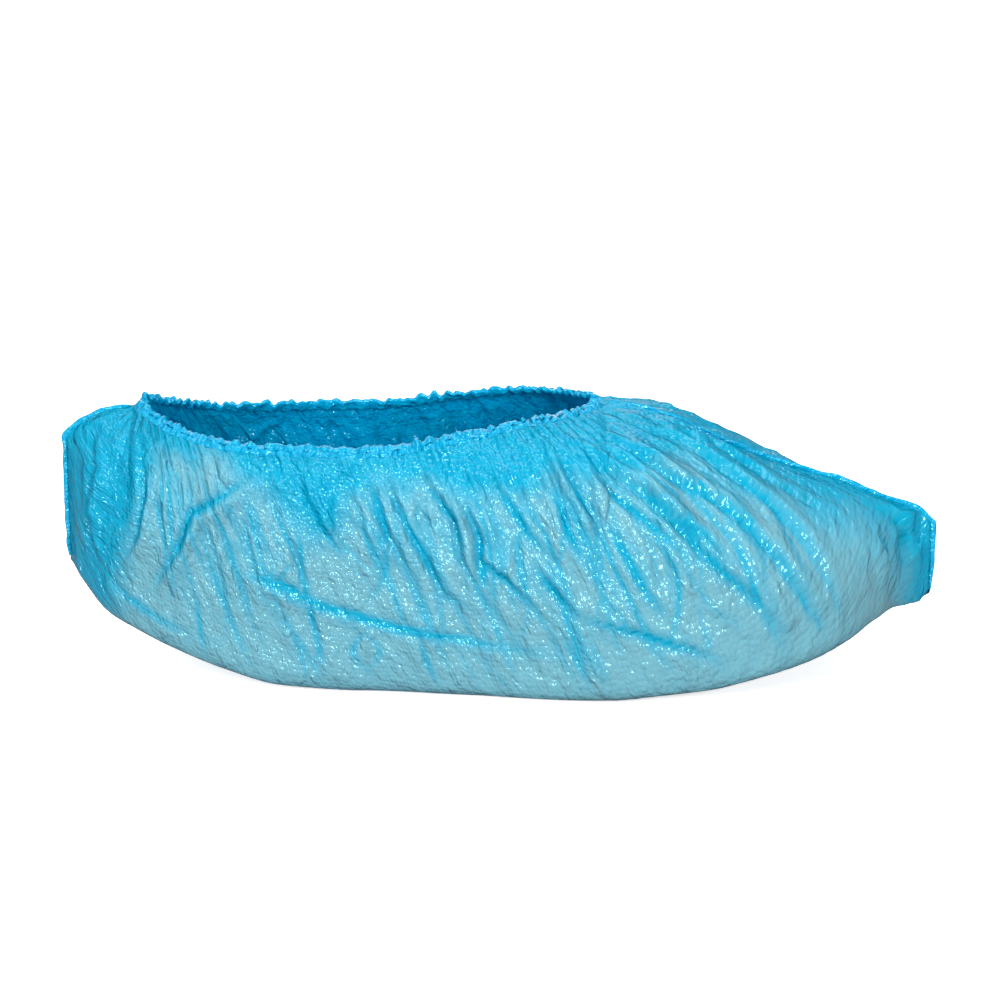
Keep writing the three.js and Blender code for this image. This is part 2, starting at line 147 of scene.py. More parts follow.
def half_section(x):
    """Half a cross-section: from the middle over the top, down the wall and in under the sole."""
    at = x / BAG_LENGTH
    half = section_value("width", at) * BALL_WIDTH / 2
    bottom = section_value("bottom", at) * (HEEL_LIFT if x < BAG_LENGTH / 2 else TOE_SPRING)
    side, shoulder, top = (section_value(c, at) * INSTEP_HEIGHT for c in ("side", "shoulder", "top"))
    edge = min(opening_half_width(x), half)
    radius = min(SOLE_EDGE_RADIUS, half * LARGEST_EDGE_SHARE)
    path = np.vstack([
        [(0, top)], curve((edge, top), (half, shoulder), (half, side)),
        curve((half, bottom + radius), (half, bottom), (half - radius, bottom)), [(0, bottom)],
    ])
    run = np.concatenate([[0], np.cumsum(np.linalg.norm(np.diff(path, axis=0), axis=1))])
    even = np.linspace(0, run[-1], SECTION_POINTS + 1)
    return np.column_stack([np.interp(even, run, path[:, k]) for k in (0, 1)]), run[-1]


made_sections = [half_section(float(x)) for x in range(int(BAG_LENGTH) + 1)]
SMOOTH = np.array([points for points, length in made_sections])
SECTION_LENGTH = np.array([length for points, length in made_sections])
Y_SHIFT = (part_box("heel_weld")[0][1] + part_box("heel_weld")[1][1]) / 2 / MM
print("longest half section", round(float(SECTION_LENGTH.max()), 1), "mm")
print("shifted", round(Y_SHIFT, 2), "mm in Y")


def bag_points(x, down, side):
    """Points of the smooth bag in millimetres, in the model's frame."""
    i = np.clip(np.floor(x).astype(int), 0, len(SMOOTH) - 2)
    j = np.clip(np.floor(down * SECTION_POINTS).astype(int), 0, SECTION_POINTS - 1)
    s, t = (x - i)[:, None], (down * SECTION_POINTS - j)[:, None]
    back = SMOOTH[i, j] * (1 - t) + SMOOTH[i, j + 1] * t
    front = SMOOTH[i + 1, j] * (1 - t) + SMOOTH[i + 1, j + 1] * t
    y, z = (back * (1 - s) + front * s).T
    swing = TOE_SWING * np.maximum(0, 2 * x / BAG_LENGTH - 1) ** 2
    return np.column_stack([x - BAG_LENGTH / 2, side * y + swing + Y_SHIFT, z])


# %% [markdown]
# ## Lines of the film
# Creases of a gathered film start square to its hem and fan out. So the film's mesh has its columns along
# those same lines: a crease then needs only a few columns next to each other. The first and last column
# are the two end welds.

# %% Columns
LINE_SAMPLES = 160
HUG_POWER = 2.5  # over 1 lets only the outer lines follow the end welds


def film_line(share):
    """A line from the hem to the middle of the sole: distances from the heel, and shares down."""
    start = OPENING_SETBACK + OPENING_LENGTH / 2 * (1 - math.cos(math.pi * share))
    down = opening_half_width(start) / SECTION_LENGTH[round(start)]
    end = BAG_LENGTH * share
    hug = abs(2 * share - 1) ** HUG_POWER
    rounding = 1 - hug * hug
    first, last = np.array((start, down)), np.array((end, 1.0))
    corner = (first + last) / 2 * (1 - hug) + np.array((end, down)) * hug
    before = corner + (first - corner) * rounding
    after = corner + (last - corner) * rounding
    lead, tail = np.linalg.norm(before - first) / BAG_LENGTH, np.linalg.norm(after - last)
    t = np.linspace(0, 1, LINE_SAMPLES + 1) * (lead + 1 + tail)
    bend = np.clip(t - lead, 0, 1)[:, None]
    places = (1 - bend) ** 2 * before + 2 * bend * (1 - bend) * corner + bend**2 * after
    if lead > 0:
        early = t < lead
        places[early] = first + (before - first) * (t[early] / lead)[:, None]
    if tail > 0:
        late = t > lead + 1
        places[late] = after + (last - after) * np.minimum((t[late] - lead - 1) / tail, 1)[:, None]
    return places


def film_column(share, side, rows):
    """Points of one column at shares of its true length, and those distances from the hem."""
    places = film_line(share)
    points = bag_points(places[:, 0], places[:, 1], side)
    run = np.concatenate([[0], np.cumsum(np.linalg.norm(np.diff(points, axis=0), axis=1))])
    wanted = run[-1] * rows
    x, down = (np.interp(wanted, run, places[:, k]) for k in (0, 1))
    return bag_points(x, down, side), wanted


# %% [markdown]
# ## The film's mesh
# A grid is the natural start for a sheet: its columns become the lines above and its rows run round the
# bag. There is one grid for each side. They share the line down the middle of the sole and the two end
# welds, where their doubled points are merged, as the real bag is one folded sheet with two welded ends.

# %% Grids of the two sides
COLUMNS, ROWS = 300, 78
ROW_CROWDING = 1.12  # over 1 sets the rows closer together near the hem
shares = np.linspace(0, 1, COLUMNS + 1)
rows = np.linspace(0, 1, ROWS + 1) ** ROW_CROWDING


def side_grid(side):
    """Smooth points, distances from the hem, outward directions and column spacing of one side."""
    made = [film_column(share, side, rows) for share in shares]
    points = np.array([p for p, run in made])
    below = np.array([run for p, run in made])
    along = np.gradient(points, axis=0)
    down = np.gradient(points, axis=1)
    out = np.cross(down, along) * (-side)
    out /= np.maximum(np.linalg.norm(out, axis=2), 1e-9)[:, :, None]
    spacing = np.linalg.norm(along, axis=2) / (shares[1] - shares[0])
    return points, below, out, spacing


NEAR, FAR = side_grid(-1), side_grid(1)
print("film grid", NEAR[0].shape, "lowest", NEAR[0][:, :, 2].min().round(2))

# %% [markdown]
# ## Creases
# Loose film doesn't wave like cloth, it laps: it rises to a sharp crest and drops straight into a groove
# beside it. The long creases are drawn one by one along the film, from the hem's gathers to where it is
# pulled tight. Each is a short list of places (share of the way from heel weld to toe weld, share of the
# way down) with the height of its crest in millimetres. A minus sign laps it the other way.

# %% Drawn creases
CREASES = [
    (2.6, [(0.767, 0.058), (0.807, 0.150), (0.823, 0.225), (0.850, 0.425), (0.863, 0.508), (0.880, 0.667)]),
    (2.2, [(0.850, 0.050), (0.847, 0.100), (0.860, 0.233), (0.887, 0.350), (0.897, 0.508), (0.903, 0.667)]),
    (2.0, [(0.927, 0.125), (0.917, 0.300), (0.920, 0.492), (0.920, 0.642)]),
    (1.6, [(0.815, 0.240), (0.833, 0.300), (0.853, 0.367), (0.863, 0.450)]),
    (-1.8, [(0.770, 0.100), (0.780, 0.208), (0.793, 0.250), (0.823, 0.383), (0.833, 0.425)]),
    (-1.5, [(0.723, 0.120), (0.710, 0.258), (0.713, 0.317), (0.723, 0.350)]),
    (2.2, [(0.660, 0.300), (0.667, 0.350), (0.680, 0.408), (0.693, 0.450)]),
    (1.3, [(0.765, 0.240), (0.770, 0.292), (0.773, 0.425), (0.783, 0.492)]),
    (1.2, [(0.683, 0.433), (0.747, 0.500), (0.793, 0.567), (0.823, 0.625)]),
    (-1.0, [(0.237, 0.267), (0.270, 0.308), (0.303, 0.367), (0.327, 0.408), (0.387, 0.450), (0.453, 0.483),
            (0.533, 0.500), (0.640, 0.533)]),
    (-1.3, [(0.263, 0.367), (0.317, 0.392), (0.357, 0.417)]),
    (1.8, [(0.413, 0.030), (0.403, 0.108), (0.413, 0.208), (0.430, 0.283)]),
    (1.9, [(0.517, 0.040), (0.520, 0.108), (0.530, 0.233), (0.540, 0.367), (0.567, 0.408)]),
    (2.4, [(0.563, 0.060), (0.587, 0.175), (0.583, 0.233), (0.573, 0.308)]),
    (2.2, [(0.603, 0.100), (0.610, 0.225), (0.600, 0.283), (0.620, 0.325), (0.637, 0.392), (0.650, 0.442)]),
    (1.8, [(0.645, 0.060), (0.663, 0.183), (0.670, 0.242), (0.687, 0.308)]),
    (1.2, [(0.600, 0.258), (0.597, 0.308), (0.593, 0.358)]),
    (2.4, [(0.360, 0.040), (0.290, 0.133), (0.200, 0.250), (0.170, 0.350), (0.140, 0.450), (0.107, 0.575)]),
    (-0.9, [(0.047, 0.660), (0.077, 0.665), (0.117, 0.660), (0.160, 0.640)]),
    (2.0, [(0.107, 0.120), (0.113, 0.242), (0.097, 0.408), (0.073, 0.542)]),
    (2.0, [(0.030, 0.158), (0.040, 0.275), (0.033, 0.500), (0.043, 0.642)]),
    (-1.6, [(0.493, 0.040), (0.490, 0.117), (0.487, 0.225), (0.497, 0.283)]),
    (-1.6, [(0.753, 0.040), (0.743, 0.133), (0.743, 0.200), (0.750, 0.292)]),
    (1.5, [(0.960, 0.120), (0.950, 0.325), (0.940, 0.417), (0.947, 0.550), (0.947, 0.633)]),
    (2.6, [(0.976, 0.700), (0.980, 0.780), (0.976, 0.860)]),
    (-1.8, [(0.955, 0.680), (0.960, 0.760), (0.955, 0.830)]),
]
CREST_BACK, CREST_FRONT, GROOVE_WIDTH = 3.4, 1.0, 1.0  # how far a crest and its groove spread, in mm
CREST_BEFORE, GROOVE_PAST = 1.0, 1.2  # how far they lie to either side of the drawn line, in mm
GROOVE_DEPTH = 0.55  # share of the crest's height
GROOVE_BLUE_AND_SHADE_PAST, GROOVE_BLUE_AND_SHADE_WIDTH = 1.0, 1.3  # where the deeper blue of a groove lies, partly double film and partly painted shade, in mm
STEPS_BETWEEN = 12  # points of a line from one drawn place to the next
WELD_MARGIN = 0.004  # share of the length that stays clear of creases at either weld
CREASE_FADES_FROM, CREASE_FADE, CREASE_ENDS = 7, 2, 14  # how far to the side a crease is felt, in mm
SIDE_TOLERANCE = 1.5  # how far past its ends a crease still counts as straight, in mm
TAPER = 0.7  # under 1 lets a crease rise quickly from its ends
print("drawn creases", len(CREASES))


def lap(offset, height):
    """Height across a lapped crease: a slow rise to the crest, then a steep drop into the groove."""
    past_crest = offset + CREST_BEFORE
    crest = np.exp(-0.5 * (past_crest / np.where(past_crest < 0, CREST_BACK, CREST_FRONT)) ** 2)
    groove = np.exp(-0.5 * ((offset - GROOVE_PAST) / GROOVE_WIDTH) ** 2)
    return height * (crest - GROOVE_DEPTH * groove)


def drawn_creases(grid, side, move, size):
    """The lift of the drawn creases, and how far each point lies in a groove's deeper blue: partly double
    film, partly painted shade.
    """
    points, out = grid[0], grid[2]
    lift, groove = np.zeros(points.shape[:2]), np.zeros(points.shape[:2])
    for height, places in CREASES:
        turn = np.sign(height)
        path = np.array(places) + np.array((move, 0.0))
        dense = np.linspace(0, len(path) - 1, STEPS_BETWEEN * (len(path) - 1) + 1)
        share = np.interp(dense, range(len(path)), path[:, 0])
        share = np.clip(share, WELD_MARGIN, 1 - WELD_MARGIN)
        row = np.interp(dense, range(len(path)), path[:, 1])
        line = np.array([film_column(s, side, np.array([r]))[0][0] for s, r in zip(share, row)])
        run = np.concatenate([[0], np.cumsum(np.linalg.norm(np.diff(line, axis=0), axis=1))])
        taper = np.sin(np.pi * np.clip(run / run[-1], 0.02, 0.98)) ** TAPER
        heading = np.gradient(line, axis=0)
        gap = np.linalg.norm(points[:, :, None, :] - line[None, None], axis=3)
        nearest = gap.argmin(axis=2)
        away = points - line[nearest]
        heading /= np.linalg.norm(heading, axis=1)[:, None]
        left = np.einsum("ijk,ijk->ij", np.cross(heading[nearest], away), out) * turn * side
        distance = np.maximum(np.abs(left), gap.min(axis=2) - SIDE_TOLERANCE)
        fade = taper[nearest] * np.exp(-np.maximum(distance - CREASE_FADES_FROM, 0) / CREASE_FADE)
        fade *= distance < CREASE_ENDS
        lift += lap(left, abs(height) * size) * fade
        # A groove's deeper blue: partly double film, partly painted shade in the crease.
        groove = np.maximum(groove, np.exp(-0.5 * ((left - GROOVE_BLUE_AND_SHADE_PAST) / GROOVE_BLUE_AND_SHADE_WIDTH) ** 2) * fade)
    return lift, groove


# %% [markdown]
# Between the drawn creases the film is full of shorter ones. These are strewn by chance from one fixed
# seed, always along the film's columns, closer together ahead of the opening, where the most film is
# gathered.

# %% Strewn creases
rng = np.random.default_rng(7)
STREWN_COUNT = 130  # on each side
FORWARD = (1.5, 1.0)  # the two numbers of the beta spread that crowds them towards the toe
AT_HEM, LOWER_DOWN = (0.01, 0.12), (0.12, 0.5)  # where they start, as shares of the way down
SHARE_AT_HEM = 0.65
STREWN_LENGTH, STREWN_HEIGHT = (0.15, 0.55), (0.3, 1.1)  # as a share of the way down, and in mm
DRIFT, BOW = 0.07, 0.02  # how far they lean and bend, as shares of the bag's length
NARROWER = 1.3  # than the drawn ones
STREWN_FADES_FROM, STREWN_FADE = 5, 1.5  # how far to the side they are felt, in mm
STREWN_BLUE_AND_SHADE_PAST, STREWN_BLUE_AND_SHADE_WIDTH = 1.6, 1.1  # where the deeper blue of their grooves lies, partly double film and partly painted shade, in mm


def strewn_creases(grid):
    """The lift of the strewn creases, and how far each point lies in one of their grooves' deeper blue:
    partly double film, partly painted shade.
    """
    points, spacing = grid[0], grid[3]
    lift, groove = np.zeros(points.shape[:2]), np.zeros(points.shape[:2])
    share, row = shares[:, None], rows[None, :]
    for _ in range(STREWN_COUNT):
        middle = rng.beta(*FORWARD) * 0.94 + 0.03
        start = rng.uniform(*AT_HEM) if rng.random() < SHARE_AT_HEM else rng.uniform(*LOWER_DOWN)
        length = rng.uniform(*STREWN_LENGTH)
        drift, bow = rng.normal(0, DRIFT), rng.normal(0, BOW)
        height = rng.uniform(*STREWN_HEIGHT) * rng.choice([-1, 1])
        t = (row - start) / length
        line = middle + drift * (row - start) + bow * np.sin(np.pi * np.clip(t, 0, 1))
        offset = (share - line) * spacing
        fade = np.sin(np.pi * np.clip(t, 0, 1)) ** TAPER
        fade = fade * np.exp(-np.maximum(np.abs(offset) - STREWN_FADES_FROM, 0) / STREWN_FADE)
        lift += lap(offset * np.sign(height) * NARROWER, abs(height)) * fade
        behind = offset * np.sign(height) * NARROWER - STREWN_BLUE_AND_SHADE_PAST
        # A groove's deeper blue: partly double film, partly painted shade in the crease.
        blue_and_shade = np.exp(-0.5 * (behind / STREWN_BLUE_AND_SHADE_WIDTH) ** 2)
        groove = np.maximum(groove, blue_and_shade * fade * min(1, abs(height)))
    return lift, groove


# %% [markdown]
# ## Crumple
# Last comes the small crumple of stiff film, which bends in flat facets. Cell noise makes such facets. It
# is read in the film's own two directions, stretched down the columns, so that the facets lengthen along
# the pull. Close to the hem the film stands in dense gathers, one for every few millimetres of elastic.

# %% Crumple
SPAN_LENGTH, SPAN_DEPTH = 330.0, 125.0  # about the size of one side of the smooth bag, in mm
ABOVE_GROUND = (1.0, 16.0)  # heights over the sole between which the creases set in, in mm
PAST_HEM = (1.0, 12.0)  # distances from the hem between which they set in, in mm
BESIDE_WELD = (0.5, 5.0)  # the same from an end weld, in columns
LOOSE_DOWN_TO = (80.0, 15.0)  # distances from the hem, in mm, of fully tight and fully loose film
SMALL_FACET, LARGE_FACET, BILLOW = (3.0, 6.5), (7.5, 19.0), (24.0, 40.0)  # along the bag and down, in mm
WARP, WARP_MM = (14.0, 22.0), 5.0  # the facets' grid is pushed about by this much
SMALL_HEIGHT, LARGE_HEIGHT, BILLOW_HEIGHT = 0.22, 0.5, 1.2
GATHER_WAVES = 45
GATHER_HEIGHT, GATHER_DEPTH = 0.9, 11.0  # in mm, and how far down the gathers reach


def smoothstep(x, low, high):
    """A soft step from 0 at the low end to 1 at the high end."""
    t = np.clip((x - low) / (high - low), 0, 1)
    return t * t * (3 - 2 * t)


def crumple(side):
    """Facets of two sizes, from 0 to about 1, and a slow billow, from about -1 to 1."""
    small, large, slow = (np.zeros((COLUMNS + 1, ROWS + 1)) for _ in range(3))
    for i, share in enumerate(shares):
        for j, row in enumerate(rows):
            u, v = share * SPAN_LENGTH, row * SPAN_DEPTH
            warp = noise.noise(Vector((u / WARP[0], v / WARP[1], 3.0 * side))) * WARP_MM
            at = Vector((u / SMALL_FACET[0] + warp * 0.2, v / SMALL_FACET[1], 5.0 * side))
            small[i, j] = noise.voronoi(at)[0][0]
            at = Vector(((u + warp) / LARGE_FACET[0], (v - warp) / LARGE_FACET[1], 11.0 * side))
            large[i, j] = noise.voronoi(at)[0][0]
            slow[i, j] = noise.noise(Vector((u / BILLOW[0], v / BILLOW[1], 17.0 * side)))
    return small, large, slow


def shaped(grid, side, move, size):
    """The film with its long creases, the smaller lifts to add later, and the deeper blue of its grooves,
    partly double film and partly painted shade.
    """
    points, below, out = grid[:3]
    drawn, grooves = drawn_creases(grid, side, move, size)
    strewn, strewn_blue_and_shade = strewn_creases(grid)
    small, large, slow = crumple(side)
    above = smoothstep(points[:, :, 2] - points[:, -1:, 2], *ABOVE_GROUND)
    from_weld = np.minimum(shares, 1 - shares)[:, None] * COLUMNS
    beside_weld = smoothstep(from_weld, *BESIDE_WELD)
    past_hem = smoothstep(below, *PAST_HEM)
    phase = 2 * np.pi * GATHER_WAVES * shares + 3.0 * np.sin(9 * shares) + 2.0 * np.sin(31 * shares)
    gathers = np.cos(phase)[:, None] * np.exp(-below / GATHER_DEPTH)
    gathers *= 0.55 + 0.45 * smoothstep(below, 0.0, 6.0)
    loose = smoothstep(below, *LOOSE_DOWN_TO)
    billow = BILLOW_HEIGHT * slow * (0.4 + 0.6 * loose) * past_hem * above
    long_lift = (drawn * past_hem * above + billow) * beside_weld
    fine_lift = strewn * past_hem * above * (0.45 + 0.55 * loose)
    facets = LARGE_HEIGHT * (large - 0.45) + SMALL_HEIGHT * (small - 0.4)
    fine_lift += facets * past_hem * (0.2 + 0.8 * above) * (0.08 + 0.92 * loose)
    bunched = np.array([0.75 + 0.9 * noise.noise(Vector((share * 23, 7.0 * side, 0))) for share in shares])
    fine_lift += gathers * GATHER_HEIGHT * bunched[:, None]
    fine_lift *= beside_weld
    # The grooves' deeper blue, partly double film and partly painted shade.
    groove_blue_and_shade = np.maximum(grooves, strewn_blue_and_shade * 0.8) * above * past_hem
    return points + out * long_lift[:, :, None], out * fine_lift[:, :, None], groove_blue_and_shade


near_long, near_fine, near_groove_blue_and_shade = shaped(NEAR, -1, move=0.0, size=1.3)
far_long, far_fine, far_groove_blue_and_shade = shaped(FAR, 1, move=0.012, size=1.2)
print("finer creases move the film up to", np.abs(near_fine).max().round(1), "mm")

# %% [markdown]
# ## One sheet from two sides
# A bag is one folded sheet. A grid for each side is laid on its points, and the two are merged where they
# meet.

# %% A mesh of the bag
MERGE_MM = 0.005
MARK_BASE = 1000  # more than a side has columns or rows


def link_mesh(name, bm):
    """The finished mesh as a smooth-shaded object of the scene."""
    mesh = bpy.data.meshes.new(name)
    bm.to_mesh(mesh)
    bm.free()
    piece = bpy.data.objects.new(name, mesh)
    bpy.context.scene.collection.objects.link(piece)
    mesh.shade_smooth()
    return piece


def bag_mesh(name, sides, scale, loose=None):
    """A mesh through the points of both sides, each marked with its side, column and row."""
    bm = bmesh.new()
    place, value = bm.verts.layers.int.new("place"), bm.verts.layers.float.new("loose")
    film_uv = bm.loops.layers.uv.new("film")
    for k, film in enumerate(sides):
        across, down = film.shape[0] - 1, film.shape[1] - 1
        made = bmesh.ops.create_grid(bm, x_segments=across, y_segments=down, size=1.0)["verts"]
        for vert in made:
            i, j = round((vert.co.x + 1) / 2 * across), round((1 - vert.co.y) / 2 * down)
            vert[place] = (k * MARK_BASE + i) * MARK_BASE + j
            vert[value] = float(loose[k][i, j]) if loose else 0.0
            vert.co = Vector(film[i, j]) * scale
            for loop in vert.link_loops:
                loop[film_uv].uv = (i / across + k, 1 - j / down)
        if k:
            bmesh.ops.reverse_faces(bm, faces=list({face for vert in made for face in vert.link_faces}))
    bmesh.ops.remove_doubles(bm, verts=bm.verts, dist=MERGE_MM * scale)
    bmesh.ops.recalc_face_normals(bm, faces=bm.faces)
    return link_mesh(name, bm)


# %% [markdown]
# ## Letting the film buckle
# The drawn creases say where the slack goes, and a cloth simulation says how the film buckles between
# them. It is told that it is larger than the bag, most of all near the hem, is held at the hem, the welds
# and the sole, and buckles against the smooth bag's form inside it. Every second point is enough for
# this. Blender's cloth works best on things of a few metres, so it runs at ten times life size.

# %% Buckle by simulation
SIM_SCALE = 10.0
SIM_FRAMES = 24
COARSER = 2  # every second point
LEAST_SLACK, MOST_SLACK = 0.006, 0.13  # how much longer the film is than the bag, low down and at the hem
SLACK_FROM, SLACK_FULL = 85.0, 10.0  # distances from the hem, in mm
HELD_BELOW_MM = 1.2
INSIDE_MM = 0.8  # how far the smooth form lies inside the film
LARGEST_MOVE_MM = 6.0


def positions(mesh):
    """The places of a mesh's points, a row for each."""
    flat = np.empty(len(mesh.vertices) * 3)
    mesh.vertices.foreach_get("co", flat)
    return flat.reshape(-1, 3)


def coarse(values):
    """Every second column and row of one side."""
    return values[::COARSER, ::COARSER]


def hold_and_ease(piece, start, side, column, row):
    """Vertex groups for the points that stay and for the slack of all the others."""
    held, slack = piece.vertex_groups.new(name="held"), piece.vertex_groups.new(name="slack")
    last_column = coarse(near_long).shape[0] - 1
    below = np.where(side == 0, coarse(NEAR[1])[column, row], coarse(FAR[1])[column, row])
    ease = smoothstep(below, SLACK_FROM, SLACK_FULL)
    lowest = HELD_BELOW_MM * MM * SIM_SCALE
    for k in range(len(start)):
        if row[k] == 0 or min(column[k], last_column - column[k]) < 2 or start[k, 2] < lowest:
            held.add([k], 1.0, "REPLACE")
        slack.add([k], float(ease[k]), "REPLACE")


def run_cloth(piece, form):
    """Lets the piece buckle as a stiff light cloth against the form."""
    form.modifiers.new("collision", "COLLISION")
    form.collision.thickness_outer = 0.005
    form.collision.cloth_friction = 8.0
    cloth = piece.modifiers.new("cloth", "CLOTH")
    settings = cloth.settings
    settings.quality = 6
    settings.mass = 0.15
    settings.tension_stiffness = settings.compression_stiffness = 30
    settings.shear_stiffness = 10
    settings.bending_stiffness = 0.1
    settings.tension_damping = settings.compression_damping = settings.shear_damping = 8
    settings.vertex_group_mass = "held"
    settings.vertex_group_shrink = "slack"
    settings.shrink_min, settings.shrink_max = -LEAST_SLACK, -MOST_SLACK
    settings.effector_weights.gravity = 0.0
    cloth.collision_settings.distance_min = 0.005
    scene = bpy.context.scene
    scene.frame_start, scene.frame_end = 1, SIM_FRAMES
    cloth.point_cache.frame_start, cloth.point_cache.frame_end = 1, SIM_FRAMES
    for number in range(1, SIM_FRAMES + 1):
        scene.frame_set(number)
    ended = positions(piece.evaluated_get(bpy.context.evaluated_depsgraph_get()).data)
    scene.frame_set(1)
    return ended


def finer(moves):
    """The moves of every second point brought to every point, evenly between them."""
    across = np.arange(COLUMNS + 1) / COARSER
    i = np.minimum(across.astype(int), moves.shape[0] - 2)
    t = (across - i)[:, None, None]
    moves = moves[i] * (1 - t) + moves[i + 1] * t
    down = np.arange(ROWS + 1) / COARSER
    j = np.minimum(down.astype(int), moves.shape[1] - 2)
    t = (down - j)[None, :, None]
    return moves[:, j] * (1 - t) + moves[:, j + 1] * t


def buckled():
    """How far the simulation moves every point of the two sides, in millimetres."""
    half = [coarse(film) for film in (near_long, far_long)]
    inside = [coarse(grid[0] - INSIDE_MM * grid[2]) for grid in (NEAR, FAR)]
    piece = bag_mesh("buckling", half, MM * SIM_SCALE)
    form = bag_mesh("form", inside, MM * SIM_SCALE)
    start = positions(piece.data)
    marks = np.array([item.value for item in piece.data.attributes["place"].data])
    side, column, row = marks // MARK_BASE**2, marks // MARK_BASE % MARK_BASE, marks % MARK_BASE
    hold_and_ease(piece, start, side, column, row)
    move = (run_cloth(piece, form) - start) / (MM * SIM_SCALE)
    for made in (piece, form):
        bpy.data.objects.remove(made)
    length = np.linalg.norm(move, axis=1)
    move *= (np.minimum(length, LARGEST_MOVE_MM) / np.maximum(length, 1e-9))[:, None]
    print("the film buckles by", length.mean().round(2), "mm, at most", length.max().round(1), "mm")
    both = np.zeros((2,) + half[0].shape)
    both[side, column, row] = move
    both[:, :, -1] = both[0, :, -1] + both[1, :, -1]
    return [finer(moves) for moves in both]


near_move, far_move = buckled()
near_film, far_film = near_long + near_move + near_fine, far_long + far_move + far_fine
LOWEST_MM = 0.02  # just above the ground
for film in (near_film, far_film):
    film[:, :, 2] = np.maximum(film[:, :, 2], LOWEST_MM)
for line in ((0,), (-1,), (slice(None), -1)):
    near_film[line] = far_film[line] = (near_film[line] + far_film[line]) / 2

# %% [markdown]
# ## Pale and deep blue film
# Worn film looks pale where it lies tight on something pale inside it, and deep blue where it stands off,
# as does a groove, partly because it lies double and partly as painted shade. Nothing is inside it here,
# so a value at every point holds this: 0 where it is tight, 1 where it is loose. The line between the two
# is a short table: millimetres from the middle, and height as seen from the camera's angle.

# %% Loose and lying film
LYING_BELOW = np.array([
    (-140, -20), (-133, 5), (-128, 33), (-121, 54), (-116, 68), (-99, 72), (-87, 58), (-74, 54), (-69, 47),
    (-59, 40), (-52, 50), (-42, 61), (-35, 57), (-24, 59), (-17, 54), (-7, 53), (7, 58), (21, 60), (35, 60),
    (49, 64), (62, 68), (76, 60), (90, 54), (104, 50), (121, 46), (132, 38), (139, 26), (144, -20),
])
BLUR = 5  # how many columns the edge between the two spreads to either side
FAR_SHIFT_MM = 4.0  # the far side's line lies this much further towards the toe
EDGE_MM, RAGGED_MM = 9.0, 9.0  # how soft the line is to either side, and how far it strays
RAGGED_COUNTS = (38.0, 6.0)  # how often it strays, along the bag and down
DOUBLE_FILM_AND_SHADE = 1.1  # over 1 makes the grooves a full deep blue, from double film and painted shade


def looseness(film, groove, side):
    """How loose each point of one side is, from 0 to 1, deepened in the grooves by double film and painted
    shade.
    """
    middle = film[:, -1:, 1]
    seen = film[:, :, 2] * math.cos(VIEW_HEIGHT) - np.abs(film[:, :, 1] - middle) * math.sin(VIEW_HEIGHT)
    line = np.interp(film[:, :, 0] - FAR_SHIFT_MM * (side + 1) / 2, LYING_BELOW[:, 0], LYING_BELOW[:, 1])
    ragged = np.zeros(seen.shape)
    for i, share in enumerate(shares):
        for j, row in enumerate(rows):
            at = Vector((share * RAGGED_COUNTS[0], row * RAGGED_COUNTS[1], 29.0 * side))
            ragged[i, j] = noise.noise(at)
    value = smoothstep(seen - line + RAGGED_MM * ragged, -EDGE_MM, EDGE_MM)
    wide = np.pad(value, ((BLUR, BLUR), (0, 0)), mode="edge")
    value = sum(wide[k:k + len(value)] for k in range(2 * BLUR + 1)) / (2 * BLUR + 1)
    # The grooves' deeper blue, partly double film and partly painted shade, is laid over the loose value.
    return np.clip(np.maximum(value, groove * DOUBLE_FILM_AND_SHADE), 0, 1)


near_loose_and_groove_shade = looseness(near_film, near_groove_blue_and_shade, -1)
far_loose_and_groove_shade = looseness(far_film, far_groove_blue_and_shade, 1)
print("loose share of the near side", near_loose_and_groove_shade.mean().round(2))

# %% Build the film
FILM_THICKNESS = 0.3 * MM

# The loose values also carry the grooves' painted shade.
film_piece = bag_mesh("film_sack", (near_film, far_film), MM, (near_loose_and_groove_shade, far_loose_and_groove_shade))
wall = film_piece.modifiers.new("thickness", "SOLIDIFY")
wall.thickness = FILM_THICKNESS
wall.offset = -1
wall.material_offset = wall.material_offset_rim = 1
print("film", len(film_piece.data.vertices), "points", len(film_piece.data.polygons), "faces")

# %% [markdown]
# ## The hem
# The elastic is a thin thread inside a narrow folded hem. It draws the hem together until the film stands
# in hundreds of tiny scallops. One grid is wrapped round the opening as a tube, thicker and thinner from
# scallop to scallop.

# %% Hem
HEM_STEPS, HEM_SIDES = 1200, 14
HEM_HEIGHT, HEM_THICKNESS = 3.4, 1.9
HEM_OVERLAP = 1.1  # how far the hem's roll reaches down over the film's edge
HEM_INSET = 0.3  # how far the roll sits in from the film's outside
BUNCHES, PLEATS = 15, 38  # how often the thicker places and the scallops follow on each other
BUNCH_SWELL, PLEAT_SWELL = 0.16, 0.34  # shares of the thickness
BUNCH_RISE, PLEAT_RISE = 0.12, 0.2  # shares of the height
PLEAT_SWAY = 0.5  # how far a scallop leans out, in mm
PLEAT_TWIST = 0.35
SQUARENESS = 0.5  # under 1 flattens the roll's round sides
RING_REACH = 3  # how many points ahead and back the ring's heading is taken from


def rim_ring():
    """The film's edge as one closed ring of smooth points, with outward and upward directions."""
    points = np.vstack([near_film[:-1, 0], far_film[:0:-1, 0]])
    out = np.vstack([NEAR[2][:-1, 0], FAR[2][:0:-1, 0]])
    ahead = np.roll(points, -RING_REACH, axis=0) - np.roll(points, RING_REACH, axis=0)
    up = np.cross(out, ahead)
    up /= np.linalg.norm(up, axis=1)[:, None]
    return points, out, up


def around(ring, turn):
    """Values of a closed ring at turns between 0 and 1."""
    steps = np.arange(len(ring) + 1) / len(ring)
    closed = np.vstack([ring, ring[:1]])
    return np.column_stack([np.interp(turn % 1.0, steps, closed[:, k]) for k in range(3)])


